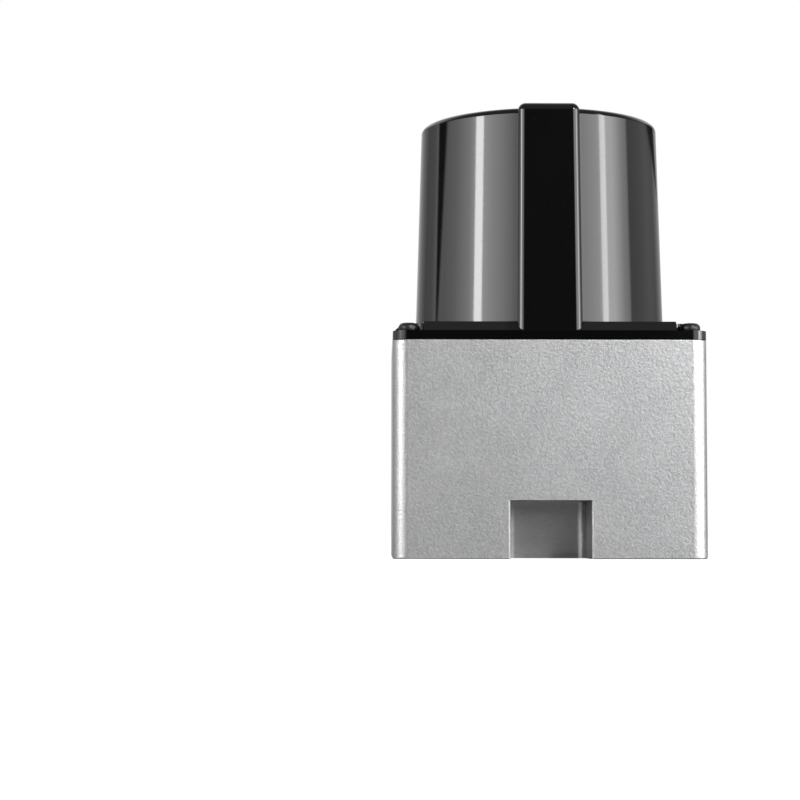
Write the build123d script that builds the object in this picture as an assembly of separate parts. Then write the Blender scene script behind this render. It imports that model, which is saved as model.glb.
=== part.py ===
from build123d import *
import os
from math import cos, radians, sin, sqrt, tan

# A compact scanning lidar: square aluminium housing, one-piece black hood with a conical window
# and a rear fin, and inside a brushless motor that turns a 45 degree mirror under a fixed
# emitter and receiver. Millimetres. Origin at the centre of the base, +Z up, rear towards -Y.

# Fits between pieces
press_gap = 0.02
screw_gap = 0.05
seat_gap = 0.3
cut_past = 1.0
touching = 0.01

# Housing, a milled aluminium cup
body_width = 60.0
body_depth = 60.0
housing_height = 41.7
corner_radius = 3.0
side_wall = 3.0
floor_thickness = 3.0
edge_break = 0.25

# Cable recess, milled into the housing's rear bottom edge
recess_width = 15.5
recess_depth = 14.3
recess_height = 11.1
recess_corner_radius = 3.8
recess_wall = 2.2

# Threaded holes in the base, in solid corner blocks that also carry the deck plate
base_hole_spacing_x = 42.0
base_hole_spacing_y = 42.0
base_hole_radius = 1.25
base_hole_depth = 6.0
block_margin = 3.2

# Cover screws, pan heads
cover_screw_inset = 3.0
cover_screw_radius = 1.0
cover_screw_length = 6.0
cover_head_radius = 1.9
cover_head_height = 1.6
screw_hole_spare_depth = 1.0
corner_pad = 6.4
screw_notch = 5.9

# Hood moulding
overall_height = 87.6
flange_side_height = 1.7
hood_deck_height = 3.55
shoulder_inset = 1.85
notch_corner_radius = 1.5
hood_wall = 2.0
window_base_radius = 25.2
window_draft = 1.66
window_edge_bevel = 0.8
fin_base_width = 12.6
fin_side_draft = 0.48
fin_edge_radius = 1.1

# Gasket in the housing's rim
gasket_width = 0.9
gasket_depth = 0.7
gasket_inset = 1.6
gasket_corner_cut = 5.4
groove_gap = 0.05

# Socket in the ceiling of the cable recess
socket_cavity_width = 10.0
socket_cavity_depth = 4.6
socket_shell = 0.6
socket_shoulder = 1.1
socket_body_height = 4.1
socket_back = 1.1
socket_recessed = 0.2
pin_count = 6
pin_pitch = 1.5
pin_size = 0.5
pin_tip_room = 1.2
pin_tail = 2.4

# Circuit boards
board_thickness = 1.6
board_edge_gap = 0.3
ledge_reach = 6.0
ledge_width = 5.0
ledge_spacing = 18.0
board_spacing_share = 0.3
standoff_flats = 4.5
standoff_inset = 3.4
capacitor_width = 7.3
capacitor_depth = 4.3
capacitor_height = 4.0
capacitor_offset_x = 13.0
capacitor_offset_y = 8.0
link_width = 20.0
link_depth = 4.0
link_offset = 13.0
chip_size = 12.0
chip_height = 1.2
connector_width = 7.0
connector_depth = 3.0
connector_height = 1.7
connector_inset = 4.2

# Deck plate
deck_below_rim = 0.5
deck_thickness = 2.5
deck_edge_gap = 0.3
flex_notch_gap = 0.7

# Motor, hanging under the deck; its heights are shares of the room above the main board
stator_drop_share = 0.18
bell_share = 0.57
stator_share = 0.31
magnet_share = 0.35
tube_share = 0.6
shaft_radius = 1.5
inner_sleeve_wall = 0.8
bearing_running_gap = 0.1
tube_radius = 5.5
tube_rise = 1.0
stator_radius = 11.3
stator_hub = 1.6
stator_teeth = 6
tooth_width = 2.6
shoe_width = 9.0
shoe_height = 1.2
coil_thickness = 1.1
air_gap = 0.4
magnet_thickness = 1.3
bell_wall = 1.0
bell_floor = 1.2
shaft_below_bell = 0.6
motor_flex_width = 4.0
flex_thickness = 0.2
flex_bend = 1.2

# Scanning head above the deck; its sizes are shares of the height under the hood's ceiling
hub_height = 3.0
disc_thickness = 0.5
disc_to_window = 3.2
disc_slots = 20
slot_width = 1.6
slot_length = 3.0
slot_to_rim = 1.2
holder_share = 0.257
mirror_rise_share = 0.362
mirror_thickness = 1.2
mirror_width_share = 0.89
mirror_narrow_share = 0.4
mirror_length_share = 0.88
mirror_short_share = 0.38
holder_slab = 2.0
holder_base = 3.0
holder_rib = 1.8
pocket_reach_share = 0.66
pocket_front_share = 0.6
weight_width = 7.0
weight_depth = 2.4
weight_height = 1.6

# Fork light barrier at the disc
sensor_width = 6.0
sensor_height = 6.8
sensor_reach = 3.5
sensor_to_window = 0.6
sensor_slot_gap = 0.8

# Optics bracket, emitter and receiver above the mirror
arm_width = 7.0
arm_thickness = 2.5
arm_to_fin = 2.2
foot_depth = 13.0
foot_height = 1.8
barrel_share = 0.345
barrel_half_share = 0.9
bracket_top_height = 2.0
bracket_ring = 2.4
bracket_gusset = 4.0
barrel_wall = 1.2
barrel_lip = 0.9
barrel_lip_height = 1.0
barrel_flange = 1.7
barrel_flange_height = 1.4
barrel_below_bracket = 0.4
lens_thickness = 1.5
emitter_tube_width = 4.8
emitter_tube_wall = 0.6
emitter_lens_height = 1.2
emitter_board_width = 4.0
emitter_board_height = 0.6
emitter_board_ledge = 0.5
emitter_rise_share = 0.55
diode_width = 2.4
diode_height = 3.2
receiver_board_height = 0.8
board_to_ceiling = 0.8
detector_size = 3.0
detector_height = 1.1
emitter_pin_inset = 1.5
optics_flex_width = 5.0
flex_landing = 3.0

# Levels and places that follow from the sizes above
half_width = body_width / 2
half_depth = body_depth / 2
cavity_width = body_width - 2 * side_wall
cavity_depth = body_depth - 2 * side_wall
screw_x = half_width - cover_screw_inset
screw_y = half_depth - cover_screw_inset
base_hole_x = base_hole_spacing_x / 2
base_hole_y = base_hole_spacing_y / 2
block_x = cavity_width / 2 - base_hole_x + block_margin
block_y = cavity_depth / 2 - base_hole_y + block_margin
rim_pad = corner_pad - side_wall
deck_top = housing_height - deck_below_rim
deck_bottom = deck_top - deck_thickness
flange_top = housing_height + flange_side_height
hood_deck_top = housing_height + hood_deck_height
hood_ceiling = overall_height - hood_wall
draft = tan(radians(window_draft))
side_draft = tan(radians(fin_side_draft))
bore_radius = window_base_radius - (hood_ceiling - hood_deck_top) * draft - hood_wall
recess_ceiling_top = recess_height + recess_wall
recess_middle = recess_depth / 2 - half_depth
lower_board = recess_ceiling_top + socket_body_height
lower_board_top = lower_board + board_thickness
room_over_board = deck_bottom - lower_board_top - board_thickness
upper_board = lower_board_top + board_spacing_share * room_over_board
board_top = upper_board + board_thickness
standoff_x = cavity_width / 2 - standoff_inset
motor_room = deck_bottom - board_top
bell_top = deck_bottom - stator_drop_share * motor_room
bell_bottom = bell_top - bell_share * motor_room
stator_top = bell_top
stator_bottom = stator_top - stator_share * motor_room
magnet_height = magnet_share * motor_room
magnet_outer = stator_radius + air_gap + magnet_thickness
bell_radius = magnet_outer + press_gap + bell_wall
tube_bottom = deck_bottom - tube_share * motor_room
tube_top = deck_top + tube_rise
sleeve_radius = shaft_radius + press_gap + inner_sleeve_wall
sleeve_bottom = tube_bottom - seat_gap
sleeve_top = tube_top + seat_gap
disc_bottom = sleeve_top + hub_height
disc_top = disc_bottom + disc_thickness
disc_radius = bore_radius - disc_to_window
head_room = hood_ceiling - disc_top
holder_radius = holder_share * head_room
mirror_centre = disc_top + mirror_rise_share * head_room
receiver_board_top = hood_ceiling - board_to_ceiling
receiver_board_bottom = receiver_board_top - receiver_board_height
barrel_bottom = receiver_board_bottom - barrel_share * head_room
barrel_inner = holder_radius * barrel_half_share
barrel_outer = barrel_inner + barrel_wall
bracket_bottom = barrel_bottom + barrel_below_bracket
bracket_top = bracket_bottom + bracket_top_height
lens_bottom = barrel_bottom + barrel_lip_height
emitter_board_bottom = lens_bottom + emitter_rise_share * (receiver_board_bottom - lens_bottom)
arm_rear = -half_depth + hood_wall + arm_to_fin
arm_front = arm_rear + arm_thickness
flex_middle = arm_rear - press_gap - flex_thickness

FROM_BELOW = (Align.CENTER, Align.CENTER, Align.MIN)


def window_radius(z):
    """Outer radius of the conical window at height z."""
    return window_base_radius - (z - hood_deck_top) * draft


def fin_half_width(z):
    """Half the fin's width at height z."""
    return fin_base_width / 2 - (z - flange_top) * side_draft


def fin_rear(z):
    """Y of the fin's outer face, flush with the flange's side at its foot."""
    return -half_depth + (z - flange_top) * draft


def disc(radius, bottom, top):
    """An upright cylinder between two heights."""
    return Pos(0, 0, bottom) * Cylinder(radius, top - bottom, align=FROM_BELOW)


def ring(outer, inner, bottom, top):
    """An upright tube between two heights."""
    return disc(outer, bottom, top) - disc(inner, bottom, top)


def block(width, depth, bottom, top, x=0.0, y=0.0):
    """An upright block between two heights, centred at x, y."""
    return Pos(x, y, bottom) * Box(width, depth, top - bottom, align=FROM_BELOW)


def corners(x, y):
    """The four points at plus and minus x and y."""
    return [(sx * x, sy * y) for sx in (-1, 1) for sy in (-1, 1)]


def at_points(points, solid):
    """One copy of a solid at each point in plan."""
    return [Pos(x, y, 0) * solid for x, y in points]


def fused(solids):
    """Several solids as one shape."""
    total = solids[0]
    for solid in solids[1:]:
        total = total + solid
    return total


def flex_strip(points, width):
    """A flat cable whose middle line runs through points in the plane x = 0, with round bends."""
    route = FilletPolyline(*[(0, y, z) for y, z in points], radius=flex_bend)
    start = Plane(origin=route @ 0, x_dir=(1, 0, 0), z_dir=route % 0)
    return sweep(start * Rectangle(width, flex_thickness), path=route)


def plan_without_corners(width, depth, cut_x, cut_y):
    """A rectangle in plan with a rectangular corner missing at each of its four corners."""
    missing = [Pos(x, y) * Rectangle(2 * cut_x, 2 * cut_y) for x, y in corners(width / 2, depth / 2)]
    return Rectangle(width, depth) - missing


def gasket_path(offset):
    """The gasket's outline in plan, cut across each corner inside the screw."""
    x = half_width - gasket_inset + offset
    y = half_depth - gasket_inset + offset
    cut = gasket_corner_cut + offset * (2 - sqrt(2))
    return Polygon(
        (x, y - cut), (x - cut, y), (cut - x, y), (-x, y - cut),
        (-x, cut - y), (cut - x, -y), (x - cut, -y), (x, cut - y),
        align=None,
    )


def housing():
    """The cup: walls, floor, corner blocks in two levels, board ledges and the cable recess."""
    outline = RectangleRounded(body_width, body_depth, corner_radius)
    cup = extrude(outline, housing_height)
    cup = chamfer(cup.edges().group_by(Axis.Z)[-1], edge_break)

    # Upper cavity takes the deck plate, lower cavity leaves a block over each base hole
    upper = plan_without_corners(cavity_width, cavity_depth, rim_pad, rim_pad)
    cup -= Pos(0, 0, deck_bottom) * extrude(upper, housing_height - deck_bottom)
    lower = plan_without_corners(cavity_width, cavity_depth, block_x, block_y)
    cup -= Pos(0, 0, floor_thickness) * extrude(lower, deck_bottom - floor_thickness)

    # Walls of the cable recess, seen from inside, then the recess itself
    wall_width = recess_width + 2 * recess_wall
    wall_depth = recess_depth + recess_wall
    wall_y = wall_depth / 2 - half_depth
    cup += block(wall_width, wall_depth - side_wall / 2, floor_thickness / 2, recess_ceiling_top,
                 y=wall_y + side_wall / 4)
    recess = RectangleRounded(recess_width, 2 * recess_depth, recess_corner_radius)
    cup -= Pos(0, -half_depth, 0) * extrude(recess, recess_height)
    mouth_edges = [
        edge for edge in cup.edges()
        if abs(edge.center().Y + half_depth) < touching
        and abs(edge.center().X) < recess_width / 2 + touching
        and touching < edge.center().Z < recess_height + touching
    ]
    cup = chamfer(mouth_edges, edge_break)
    neck_width = socket_cavity_width + 2 * socket_shell + 2 * press_gap
    neck_depth = socket_cavity_depth + 2 * socket_shell + 2 * press_gap
    cup -= block(neck_width, neck_depth, recess_height - cut_past, recess_ceiling_top + cut_past,
                 y=recess_middle)

    # Ledges for the boards stand against the side walls
    ledge_x = cavity_width / 2 - ledge_reach / 2 + side_wall / 2
    for x, y in corners(ledge_x, ledge_spacing / 2):
        cup += block(ledge_reach + side_wall, ledge_width, floor_thickness / 2, lower_board, x=x, y=y)

    # Threaded holes
    for x, y in corners(base_hole_x, base_hole_y):
        cup -= Pos(x, y, 0) * disc(base_hole_radius, 0, base_hole_depth)
    cover_depth = cover_screw_length - flange_side_height + screw_hole_spare_depth
    for x, y in corners(screw_x, screw_y):
        hole = disc(cover_screw_radius + screw_gap, housing_height - cover_depth, housing_height)
        cup -= Pos(x, y, 0) * hole

    # Groove for the gasket
    half_groove = gasket_width / 2 + groove_gap
    groove = gasket_path(half_groove) - gasket_path(-half_groove)
    return cup - Pos(0, 0, housing_height - gasket_depth) * extrude(groove, gasket_depth)


def hood():
    """Flange, sloped shoulder and deck, conical window and rear fin as one moulding."""
    outline = RectangleRounded(body_width, body_depth, corner_radius)
    shell = Pos(0, 0, housing_height) * extrude(outline, flange_side_height)
    shoulder = hood_deck_top - flange_top
    slope = loft([
        Pos(0, 0, flange_top) * Rectangle(body_width, body_depth),
        Pos(0, 0, hood_deck_top) * Rectangle(body_width - 2 * shoulder_inset,
                                             body_depth - 2 * shoulder_inset),
    ])
    for x, y in corners(half_width, half_depth):
        slope -= Pos(x, y, flange_top) * extrude(
            RectangleRounded(2 * screw_notch, 2 * screw_notch, notch_corner_radius), shoulder)
    shell += slope

    # Window and fin share the flat top
    window = Pos(0, 0, flange_top) * Cone(
        window_radius(flange_top), window_radius(overall_height), overall_height - flange_top,
        align=FROM_BELOW)
    window = chamfer(window.edges().group_by(Axis.Z)[-1], window_edge_bevel)
    shell += window + fin()

    # Inside: round bore for the scanning head and a straight hollow in the fin for the bracket
    shell -= disc(bore_radius, housing_height, hood_ceiling)
    hollow_rear = fin_rear(overall_height) + hood_wall
    hollow_width = 2 * (fin_half_width(overall_height) - hood_wall)
    shell -= block(hollow_width, -hollow_rear, housing_height, hood_ceiling, y=hollow_rear / 2)
    for x, y in corners(screw_x, screw_y):
        shell -= Pos(x, y, 0) * disc(cover_screw_radius + screw_gap, housing_height, flange_top)
    return shell


def fin():
    """The fin behind the window, tapered upwards, with rounded rear edges."""
    low = fin_half_width(flange_top)
    high = fin_half_width(overall_height)
    front = Plane.XZ * Polygon((-low, flange_top), (low, flange_top), (high, overall_height),
                               (-high, overall_height), align=None)
    side = Plane.YZ * Polygon((0, flange_top), (0, overall_height), (fin_rear(overall_height),
                              overall_height), (-half_depth, flange_top), align=None)
    solid = extrude(front, half_depth, both=True) & extrude(side, half_width, both=True)
    rear_edges = solid.edges().filter_by(
        lambda edge: edge.center().Y < -half_depth / 2 and edge.length > shoulder_inset
        and flange_top < edge.center().Z < overall_height)
    solid = fillet(rear_edges, fin_edge_radius)
    top_edges = solid.edges().group_by(Axis.Z)[-1].filter_by(lambda edge: edge.center().Y < -touching)
    return chamfer(top_edges, window_edge_bevel)


def hood_gasket():
    """Seal cord that fills the groove up to the housing's rim."""
    cord = gasket_path(gasket_width / 2) - gasket_path(-gasket_width / 2)
    return Pos(0, 0, housing_height - gasket_depth) * extrude(cord, gasket_depth)


def cover_screws():
    """Four screws from the hood's corner notches into the housing."""
    screw = disc(cover_head_radius, flange_top, flange_top + cover_head_height)
    screw += disc(cover_screw_radius, flange_top - cover_screw_length, flange_top)
    return at_points(corners(screw_x, screw_y), screw)


def connector_socket():
    """Socket whose neck passes the recess ceiling and whose shoulder rests on top of it."""
    neck_width = socket_cavity_width + 2 * socket_shell
    neck_depth = socket_cavity_depth + 2 * socket_shell
    mouth = recess_height + socket_recessed
    body = block(neck_width, neck_depth, mouth, lower_board)
    body += block(neck_width + 2 * socket_shoulder, neck_depth + 2 * socket_shoulder,
                  recess_ceiling_top, lower_board)
    cavity_top = lower_board - socket_back
    body -= block(socket_cavity_width, socket_cavity_depth, mouth, cavity_top)
    body -= fused(pin_places(block(pin_size + press_gap, pin_size + press_gap,
                                   cavity_top, lower_board)))
    return Pos(0, recess_middle, 0) * body


def pin_places(solid):
    """One copy of a solid at each pin of the socket."""
    first = -(pin_count - 1) * pin_pitch / 2
    return [Pos(first + i * pin_pitch, 0, 0) * solid for i in range(pin_count)]


def connector_pins():
    """Straight pins through the socket's back into the interface board."""
    tip = recess_height + socket_recessed + pin_tip_room
    pin = block(pin_size, pin_size, tip, lower_board + pin_tail)
    return [Pos(0, recess_middle, 0) * solid for solid in pin_places(pin)]


def board_blank(bottom):
    """A circuit board that clears the corner blocks."""
    plan = plan_without_corners(cavity_width - 2 * board_edge_gap, cavity_depth - 2 * board_edge_gap,
                                block_x, block_y)
    return Pos(0, 0, bottom) * extrude(plan, board_thickness)


def interface_board():
    """Lower board, on the housing's ledges and over the socket."""
    board = board_blank(lower_board)
    holes = pin_places(block(pin_size + 2 * screw_gap, pin_size + 2 * screw_gap,
                             lower_board, lower_board_top))
    return board - [Pos(0, recess_middle, 0) * hole for hole in holes]


def main_board():
    """Upper board, on the standoffs."""
    return board_blank(upper_board)


def board_standoffs():
    """Hex standoffs between the boards, over the housing's ledges."""
    body = extrude(RegularPolygon(standoff_flats / 2, 6, major_radius=False),
                   upper_board - lower_board_top)
    return at_points(corners(standoff_x, ledge_spacing / 2), Pos(0, 0, lower_board_top) * body)


def power_capacitors():
    """Two polymer capacitors under the interface board."""
    body = block(capacitor_width, capacitor_depth, lower_board - capacitor_height, lower_board)
    places = [(-capacitor_offset_x, capacitor_offset_y), (capacitor_offset_x, capacitor_offset_y)]
    return at_points(places, body)


def board_link():
    """Plug connector between the two boards."""
    return block(link_width, link_depth, lower_board_top, upper_board, y=link_offset)


def processor_chip():
    """The processor in the middle of the main board."""
    return block(chip_size, chip_size, board_top, board_top + chip_height)


def flex_connectors():
    """Sockets for the two flat cables, at the main board's front and rear edge."""
    y = cavity_depth / 2 - connector_inset - connector_depth / 2
    housing_block = block(connector_width, connector_depth, board_top, board_top + connector_height)
    return at_points([(0, -y), (0, y)], housing_block)


def deck_plate():
    """Plate on the housing's corner blocks, with the motor's hole and a notch for the flat cable."""
    depth = cavity_depth - 2 * deck_edge_gap
    plan = plan_without_corners(cavity_width - 2 * deck_edge_gap, depth, rim_pad, rim_pad)
    plan -= Circle(tube_radius + press_gap)
    notch_front = arm_rear + flex_notch_gap
    notch_depth = notch_front + depth / 2
    plan -= Pos(0, notch_front - notch_depth / 2) * Rectangle(
        optics_flex_width + 2 * flex_notch_gap, notch_depth)
    return Pos(0, 0, deck_bottom) * extrude(plan, deck_thickness)


def bearing_tube():
    """Outer sleeve of a bearing cartridge, pressed into the deck, both ball rows hidden inside."""
    return ring(tube_radius, sleeve_radius + bearing_running_gap, tube_bottom, tube_top)


def bearing_inner_sleeve():
    """Inner sleeve of the bearing cartridge, on the shaft and a little longer than the outer one."""
    return ring(sleeve_radius, shaft_radius + press_gap, sleeve_bottom, sleeve_top)


def stator_core():
    """Laminated core: hub on the bearing tube and T-shaped teeth with straight shoes."""
    hub_outer = tube_radius + press_gap + stator_hub
    shoe_inner = sqrt(stator_radius ** 2 - (shoe_width / 2) ** 2) - shoe_height
    tooth_root = hub_outer - stator_hub / 2
    tooth = Pos((shoe_inner + tooth_root) / 2, 0) * Rectangle(
        shoe_inner - tooth_root + touching, tooth_width)
    shoe = Pos(shoe_inner + shoe_height / 2, 0) * Rectangle(shoe_height, shoe_width)
    plan = Circle(hub_outer)
    for i in range(stator_teeth):
        plan += Rot(0, 0, i * 360 / stator_teeth) * (tooth + shoe)
    plan -= Circle(tube_radius + press_gap)
    return Pos(0, 0, stator_bottom) * extrude(plan, stator_top - stator_bottom)


def stator_coils():
    """One winding round each tooth."""
    gap = 2 * press_gap
    inner = tube_radius + stator_hub + 2 * gap
    outer = sqrt(stator_radius ** 2 - (shoe_width / 2) ** 2) - shoe_height - gap
    middle = (stator_bottom + stator_top) / 2
    height = stator_top - stator_bottom
    opening = Box(outer - inner + cut_past, tooth_width + gap, height + gap)
    winding = Box(outer - inner, tooth_width + 2 * coil_thickness, height + 2 * coil_thickness)
    coil = Pos((inner + outer) / 2, 0, middle) * (winding - opening)
    return [Rot(0, 0, i * 360 / stator_teeth) * coil for i in range(stator_teeth)]


def motor_flex():
    """Flat cable from the windings, under the deck and down to the front connector."""
    z = (stator_top + coil_thickness + deck_bottom) / 2
    outer = cavity_depth / 2 - 2 * flex_bend
    entry = cavity_depth / 2 - connector_inset
    low = board_top + connector_height / 2
    start = (tube_radius + stator_radius) / 2
    return flex_strip([(start, z), (outer, z), (outer, low), (entry, low)], motor_flex_width)


def shaft():
    """Steel shaft through bell, bearings, bush and disc into the mirror holder."""
    return disc(shaft_radius, bell_bottom - shaft_below_bell, disc_top + holder_base / 2)


def rotor_bell():
    """Cup pressed on the shaft, with the magnets in its wall."""
    bell = disc(bell_radius, bell_bottom, bell_top)
    bell -= disc(bell_radius - bell_wall, bell_bottom + bell_floor, bell_top)
    return bell - disc(shaft_radius + press_gap, bell_bottom, bell_bottom + bell_floor)


def magnet_ring():
    """Ring magnet in the bell, level with the core."""
    middle = (stator_bottom + stator_top) / 2
    inner = stator_radius + air_gap
    return ring(magnet_outer, inner, middle - magnet_height / 2, middle + magnet_height / 2)


def rotor_hub():
    """Bush on the shaft, between the inner sleeve and the slotted disc."""
    return ring(sleeve_radius, shaft_radius + press_gap, sleeve_top, disc_bottom)


def encoder_disc():
    """Thin steel disc with a row of slots and one gap that marks the zero position."""
    plan = Circle(disc_radius) - Circle(shaft_radius + press_gap)
    slot_middle = disc_radius - slot_to_rim - slot_length / 2
    slot = Pos(slot_middle, 0) * Rectangle(slot_length, slot_width)
    plan -= [Rot(0, 0, i * 360 / disc_slots) * slot for i in range(1, disc_slots)]
    return Pos(0, 0, disc_bottom) * extrude(plan, disc_thickness)


def mirror_plane(depth):
    """Plane of the mirror's face, moved back into the holder by depth, facing up and forwards."""
    face = Plane(origin=(0, 0, mirror_centre), x_dir=(1, 0, 0), z_dir=(0, 1, 1))
    return face.offset(-depth)


def mirror():
    """Front-surface mirror, an octagon that fills a round beam, long along the slope."""
    wide = holder_radius * mirror_width_share
    narrow = holder_radius * mirror_narrow_share
    long = holder_radius * sqrt(2) * mirror_length_share
    short = holder_radius * sqrt(2) * mirror_short_share
    plate = Polygon((wide, short), (narrow, long), (-narrow, long), (-wide, short),
                    (-wide, -short), (-narrow, -long), (narrow, -long), (wide, -short), align=None)
    return mirror_plane(mirror_thickness) * extrude(plate, mirror_thickness)


def mirror_holder():
    """Turned block cut at 45 degrees, hollowed from behind to a slab, two cheeks and a rib."""
    tall = mirror_centre + holder_radius
    body = disc(holder_radius, disc_top, tall)
    room = 4 * holder_radius
    body -= mirror_plane(mirror_thickness) * Box(room, room, room, align=FROM_BELOW)
    pocket_width = pocket_reach_share * holder_radius - holder_rib / 2
    pocket_x = (holder_rib + pocket_width) / 2
    pocket_front = pocket_front_share * holder_radius
    wedge = block(pocket_width, room, disc_top + holder_base, tall, y=pocket_front - room / 2)
    wedge -= mirror_plane(mirror_thickness + holder_slab) * Box(room, room, room, align=FROM_BELOW)
    body -= [Pos(-pocket_x, 0, 0) * wedge, Pos(pocket_x, 0, 0) * wedge]
    body -= disc(shaft_radius + press_gap, disc_top, disc_top + holder_base / 2 + seat_gap)
    return body - weight_block(press_gap)


def weight_block(gap):
    """A block in the front of the holder's base."""
    y = holder_radius * cos(radians(45)) + weight_depth / 2 - gap
    return block(weight_width + 2 * gap, weight_depth + 2 * gap, disc_top,
                 disc_top + weight_height + gap, y=y - weight_depth)


def balance_weight():
    """Brass weight in the holder's base, opposite the high side of the mirror."""
    return weight_block(0.0)


def encoder_sensor():
    """Fork light barrier on the deck, its slot round the disc's rim."""
    outer = bore_radius - sensor_to_window
    inner = disc_radius - sensor_reach
    fork = block(outer - inner, sensor_width, deck_top, deck_top + sensor_height,
                 x=(outer + inner) / 2)
    slot_end = disc_radius + sensor_slot_gap
    slot = block(slot_end - inner, sensor_width, disc_bottom - sensor_slot_gap,
                 disc_top + sensor_slot_gap, x=(slot_end + inner) / 2)
    return fork - slot


def optics_bracket():
    """C-shaped bracket: foot on the deck, arm inside the fin, frame over the mirror."""
    foot = block(arm_width, foot_depth, deck_top, deck_top + foot_height,
                 y=arm_rear + foot_depth / 2)
    side = Plane.YZ * Polygon(
        (arm_rear, deck_top), (arm_rear, bracket_top), (0, bracket_top), (0, bracket_bottom),
        (arm_front + bracket_gusset, bracket_bottom), (arm_front, bracket_bottom - bracket_gusset),
        (arm_front, deck_top), align=None)
    frame_width = 2 * (barrel_outer + press_gap + bracket_ring)
    opening = 2 * (barrel_outer + press_gap)
    body = foot + extrude(side, arm_width / 2, both=True)
    body += block(frame_width, frame_width, bracket_bottom, bracket_top)
    return body - block(opening, opening, bracket_bottom - cut_past, bracket_top)


def lens_barrel():
    """Square tube hung in the bracket's frame, with a lip for the lens and a ledge above."""
    barrel = block(2 * barrel_outer, 2 * barrel_outer, barrel_bottom, receiver_board_bottom)
    flange = 2 * (barrel_outer + barrel_flange)
    barrel += block(flange, flange, bracket_top, bracket_top + barrel_flange_height)
    lip_opening = 2 * (barrel_inner - barrel_lip)
    barrel -= block(lip_opening, lip_opening, barrel_bottom, lens_bottom)
    barrel -= block(2 * barrel_inner, 2 * barrel_inner, lens_bottom, receiver_board_bottom)
    ledge = 2 * (barrel_inner + emitter_board_ledge)
    return barrel - block(ledge, emitter_board_width + 2 * screw_gap, emitter_board_bottom,
                          receiver_board_bottom)


def receiver_lens():
    """Flat moulded Fresnel lens with an opening for the emitter tube."""
    width = 2 * (barrel_inner - press_gap)
    opening = emitter_tube_width + 2 * press_gap
    top = lens_bottom + lens_thickness
    return block(width, width, lens_bottom, top) - block(opening, opening, lens_bottom, top)


def emitter_tube():
    """Square light shield in the middle of the lens, up to the emitter's board."""
    inner = emitter_tube_width - 2 * emitter_tube_wall
    return (block(emitter_tube_width, emitter_tube_width, lens_bottom, emitter_board_bottom)
            - block(inner, inner, lens_bottom, emitter_board_bottom))


def emitter_lens():
    """Small lens at the lower end of the emitter tube."""
    width = emitter_tube_width - 2 * emitter_tube_wall - 2 * press_gap
    return block(width, width, lens_bottom, lens_bottom + emitter_lens_height)


def laser_diode():
    """Laser package under the emitter's board, inside the tube."""
    return block(diode_width, diode_width, emitter_board_bottom - diode_height, emitter_board_bottom)


def emitter_board():
    """Narrow board across the barrel, on its ledge."""
    length = 2 * (barrel_inner + emitter_board_ledge) - 2 * screw_gap
    return block(length, emitter_board_width, emitter_board_bottom,
                 emitter_board_bottom + emitter_board_height)


def receiver_board():
    """Square board on top of the barrel."""
    return block(2 * barrel_outer, 2 * barrel_outer, receiver_board_bottom, receiver_board_top)


def emitter_pins():
    """Pins that join the emitter's board to the receiver board."""
    x = barrel_inner - emitter_pin_inset
    pin = block(pin_size, pin_size, emitter_board_bottom + emitter_board_height,
                receiver_board_bottom)
    return at_points([(-x, 0), (x, 0)], pin)


def detector():
    """Photodiode under the receiver board, at the lens's focus."""
    return block(detector_size, detector_size, receiver_board_bottom - detector_height,
                 receiver_board_bottom)


def optics_flex():
    """Flat cable from the receiver board down the fin to the rear connector."""
    high = receiver_board_top + flex_thickness
    low = board_top + connector_height / 2
    start = flex_landing - barrel_outer
    entry = connector_inset - cavity_depth / 2
    route = [(start, high), (flex_middle, high), (flex_middle, low), (entry, low)]
    return flex_strip(route, optics_flex_width)


PIECES = [
    housing, hood, hood_gasket, cover_screws, connector_socket, connector_pins,
    interface_board, power_capacitors, board_standoffs, board_link, main_board,
    processor_chip, flex_connectors, deck_plate, bearing_tube,
    stator_core, stator_coils, motor_flex, encoder_sensor,
    optics_bracket, lens_barrel, receiver_lens, emitter_tube, emitter_lens,
    laser_diode, emitter_board, emitter_pins, receiver_board, detector, optics_flex,
    shaft, bearing_inner_sleeve, rotor_bell, magnet_ring, rotor_hub,
    encoder_disc, mirror_holder, mirror, balance_weight,
]

os.makedirs("parts", exist_ok=True)
for make in PIECES:
    shape = make()
    if isinstance(shape, list):
        shape = Compound(children=shape)
    export_step(shape, f"parts/{make.__name__}.step")
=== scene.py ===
from math import cos, pi, radians, sin, sqrt, tan

import bpy
from mathutils import Matrix, Vector


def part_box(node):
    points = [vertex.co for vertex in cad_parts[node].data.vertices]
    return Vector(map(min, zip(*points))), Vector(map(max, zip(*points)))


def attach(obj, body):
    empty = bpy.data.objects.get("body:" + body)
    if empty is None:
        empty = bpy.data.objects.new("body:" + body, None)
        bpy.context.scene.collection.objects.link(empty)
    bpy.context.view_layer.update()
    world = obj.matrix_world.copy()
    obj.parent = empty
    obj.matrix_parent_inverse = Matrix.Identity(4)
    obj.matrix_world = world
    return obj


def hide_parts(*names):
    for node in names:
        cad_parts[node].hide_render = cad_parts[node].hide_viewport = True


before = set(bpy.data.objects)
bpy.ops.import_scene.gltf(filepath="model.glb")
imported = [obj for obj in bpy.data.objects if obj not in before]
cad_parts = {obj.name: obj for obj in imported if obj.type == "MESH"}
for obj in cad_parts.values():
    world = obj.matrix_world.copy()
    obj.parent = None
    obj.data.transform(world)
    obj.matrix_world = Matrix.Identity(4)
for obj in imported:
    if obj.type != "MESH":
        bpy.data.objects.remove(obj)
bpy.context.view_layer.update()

# Camera, where the photograph was taken from: low behind the sensor and a little to its left,
# looking slightly up. Place and direction are in the part's own frame, in metres.
mm = 0.001
eye = Vector((-32.07, -423.57, 4.75)) * mm
looking = Vector((0.00873, 0.99791, 0.06414))
camera_roll = radians(0.05)
sensor_width = 36.0
focal_length = 93.64

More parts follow.
